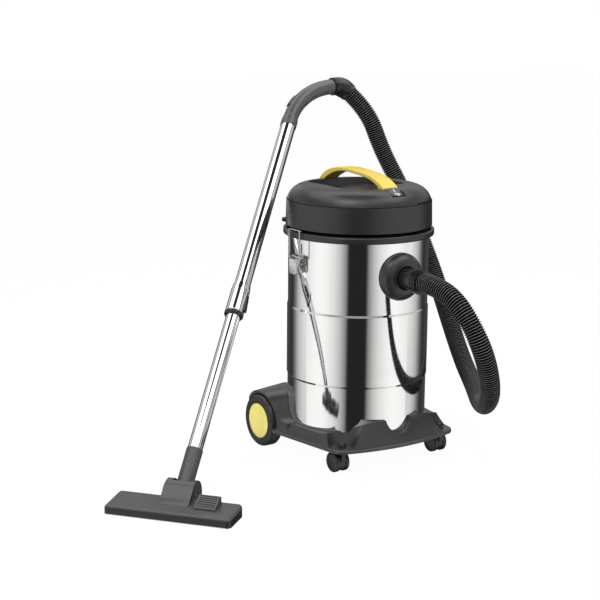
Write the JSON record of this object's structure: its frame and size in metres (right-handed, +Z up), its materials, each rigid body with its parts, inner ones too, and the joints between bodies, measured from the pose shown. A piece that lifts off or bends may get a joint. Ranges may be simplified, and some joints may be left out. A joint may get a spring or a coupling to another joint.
{
  "type": "shop vacuum",
  "caption": "Wet and dry shop vacuum: polished steel drum on a wheeled trolley, lift-off motor head with latches, ribbed hose, telescopic chrome wand and floor nozzle.",
  "frame": {"origin": "on the floor under the drum's axis", "axes": "+Z up, -Y to the front where the hose leaves the drum, +X to the right of the vacuum seen from behind"},
  "size_m": [1.1844, 0.8732, 0.9077],
  "materials": {
    "polished_steel": "mirror polished stainless steel, faint turned grain",
    "chrome_tube": "bright chrome plating",
    "dark_plastic": "dark grey moulded plastic, satin",
    "black_plastic": "black moulded plastic, satin",
    "grey_plastic": "mid grey moulded plastic, satin",
    "yellow_plastic": "yellow moulded plastic, half gloss",
    "pale_yellow": "pale yellow moulded plastic, satin",
    "zinc_steel": "zinc plated steel",
    "soft_black": "matt black rubber",
    "filter_cloth": "off-white filter cloth",
    "aluminium_fan": "pressed aluminium"
  },
  "bodies": {
    "tank": {"drum": "polished_steel", "inlet_boss": "dark_plastic", "inlet_gasket": "soft_black", "inlet_deflector": "dark_plastic", "tank_cuff": "black_plastic", "hose": "black_plastic", "swivel_cuff": "black_plastic", "trolley_base": "dark_plastic", "caster_stems": "zinc_steel", "caster_nuts": "soft_black", "rear_axle": "zinc_steel", "axle_clips": "zinc_steel", "base_screws": "zinc_steel", "filter_frame": "dark_plastic", "filter_bag": "filter_cloth", "latch_rivets": "zinc_steel", "latch_bracket_left": "zinc_steel", "latch_bracket_right": "zinc_steel"},
    "head": {"head_housing": "dark_plastic", "head_dome": "dark_plastic", "carry_handle": "yellow_plastic", "rim_seal": "soft_black", "switch_bezel": "grey_plastic", "cord_gland": "black_plastic", "motor_mount": "soft_black", "motor_can": "zinc_steel", "float_cage": "grey_plastic"},
    "rotor": {"fan_shaft": "zinc_steel", "fan_impeller": "aluminium_fan"},
    "float": {"float_cup": "pale_yellow"},
    "rocker": {"switch_rocker": "black_plastic"},
    "wand": {"bent_handle": "grey_plastic", "upper_tube": "chrome_tube", "tube_sleeve": "chrome_tube", "tube_ring": "black_plastic"},
    "slider": {"suction_slider": "dark_plastic"},
    "lock": {"tube_lock": "black_plastic"},
    "extension": {"lower_tube": "chrome_tube", "guide_bush": "black_plastic", "nozzle_neck": "grey_plastic"},
    "nozzle": {"nozzle_band": "dark_plastic", "nozzle_shell": "grey_plastic", "nozzle_sole": "zinc_steel", "nozzle_pins": "zinc_steel"},
    "pedal": {"nozzle_pedal": "grey_plastic"},
    "brush": {"nozzle_brush": "black_plastic"},
    "wheel_left": {"rear_wheel_left": "soft_black", "wheel_cap_left": "pale_yellow"},
    "caster_left": {"caster_hood_left": "black_plastic"},
    "rollers_left": {"caster_wheels_left": "soft_black", "caster_axle_left": "zinc_steel"},
    "lever_left": {"latch_lever_left": "zinc_steel"},
    "bail_left": {"latch_bail_left": "zinc_steel"},
    "wheel_right": {"rear_wheel_right": "soft_black", "wheel_cap_right": "pale_yellow"},
    "caster_right": {"caster_hood_right": "black_plastic"},
    "rollers_right": {"caster_wheels_right": "soft_black", "caster_axle_right": "zinc_steel"},
    "lever_right": {"latch_lever_right": "zinc_steel"},
    "bail_right": {"latch_bail_right": "zinc_steel"}
  },
  "joints": [
    {"name": "head_lift", "type": "slide", "parent": "tank", "child": "head", "axis": [0, 0, 1], "range_m": [0, 0.14]},
    {"name": "rotor_spin", "type": "hinge", "parent": "head", "child": "rotor", "pos_m": [0, 0, 0.5795], "axis": [0, 0, 1], "continuous": true},
    {"name": "float_rise", "type": "slide", "parent": "head", "child": "float", "axis": [0, 0, 1], "range_m": [0, 0.03]},
    {"name": "switch_rock", "type": "hinge", "parent": "head", "child": "rocker", "pos_m": [0, -0.14475, 0.66287], "axis": [1, 0, 0], "range_deg": [0, 5]},
    {"name": "hose_swivel", "type": "hinge", "parent": "tank", "child": "wand", "pos_m": [0.1839, 0.38954, 0.88267], "axis": [0.999, 0.0242, 0.0379], "range_deg": [-6, 25]},
    {"name": "air_slide", "type": "slide", "parent": "wand", "child": "slider", "axis": [0.7481, 0.3572, 0.5593], "range_m": [-0.006, 0.006]},
    {"name": "lock_slide", "type": "slide", "parent": "wand", "child": "lock", "axis": [0.5508, 0.4492, 0.7034], "range_m": [-0.002, 0.005], "stiffness_N_per_m": 400},
    {"name": "tube_slide", "type": "slide", "parent": "wand", "child": "extension", "axis": [0.5508, 0.4492, 0.7034], "range_m": [0, 0.3]},
    {"name": "nozzle_tilt", "type": "hinge", "parent": "extension", "child": "nozzle", "pos_m": [-0.58745, -0.15376, 0.032], "axis": [0.632, -0.7749, 0], "range_deg": [-10, 35]},
    {"name": "pedal_tip", "type": "hinge", "parent": "nozzle", "child": "pedal", "pos_m": [-0.58451, -0.25072, 0.016], "axis": [0.632, -0.7749, 0], "range_deg": [-6, 0]},
    {"name": "brush_drop", "type": "slide", "parent": "nozzle", "child": "brush", "axis": [0, 0, -1], "range_m": [0, 0.004]},
    {"name": "wheel_roll_left", "type": "hinge", "parent": "tank", "child": "wheel_left", "pos_m": [-0.19, 0.1355, 0.066], "axis": [1, 0, 0], "continuous": true},
    {"name": "caster_turn_left", "type": "hinge", "parent": "tank", "child": "caster_left", "pos_m": [-0.15, -0.153, 0.045], "axis": [0, 0, 1], "continuous": true},
    {"name": "caster_roll_left", "type": "hinge", "parent": "caster_left", "child": "rollers_left", "pos_m": [-0.15, -0.137, 0.025], "axis": [1, 0, 0], "continuous": true},
    {"name": "lever_open_left", "type": "hinge", "parent": "tank", "child": "lever_left", "pos_m": [-0.184, 0, 0.508], "axis": [0, 1, 0], "range_deg": [0, 142]},
    {"name": "bail_swing_left", "type": "hinge", "parent": "lever_left", "child": "bail_left", "pos_m": [-0.19, 0, 0.505], "axis": [0, -1, 0], "range_deg": [0, 311]},
    {"name": "wheel_roll_right", "type": "hinge", "parent": "tank", "child": "wheel_right", "pos_m": [0.19, 0.1355, 0.066], "axis": [1, 0, 0], "continuous": true},
    {"name": "caster_turn_right", "type": "hinge", "parent": "tank", "child": "caster_right", "pos_m": [0.15, -0.153, 0.045], "axis": [0, 0, 1], "continuous": true},
    {"name": "caster_roll_right", "type": "hinge", "parent": "caster_right", "child": "rollers_right", "pos_m": [0.15, -0.137, 0.025], "axis": [1, 0, 0], "continuous": true},
    {"name": "lever_open_right", "type": "hinge", "parent": "tank", "child": "lever_right", "pos_m": [0.184, 0, 0.508], "axis": [0, -1, 0], "range_deg": [0, 142]},
    {"name": "bail_swing_right", "type": "hinge", "parent": "lever_right", "child": "bail_right", "pos_m": [0.19, 0, 0.505], "axis": [0, 1, 0], "range_deg": [0, 311]}
  ],
  "couplings": [
    {"joint": "brush_drop", "follows": "pedal_tip", "m_per_rad": -0.037242},
    {"joint": "lever_open_left", "follows": "head_lift", "rad_per_m": 17.453},
    {"joint": "bail_swing_left", "follows": "head_lift", "rad_per_m": 38.397},
    {"joint": "lever_open_right", "follows": "head_lift", "rad_per_m": 17.453},
    {"joint": "bail_swing_right", "follows": "head_lift", "rad_per_m": 38.397}
  ]
}
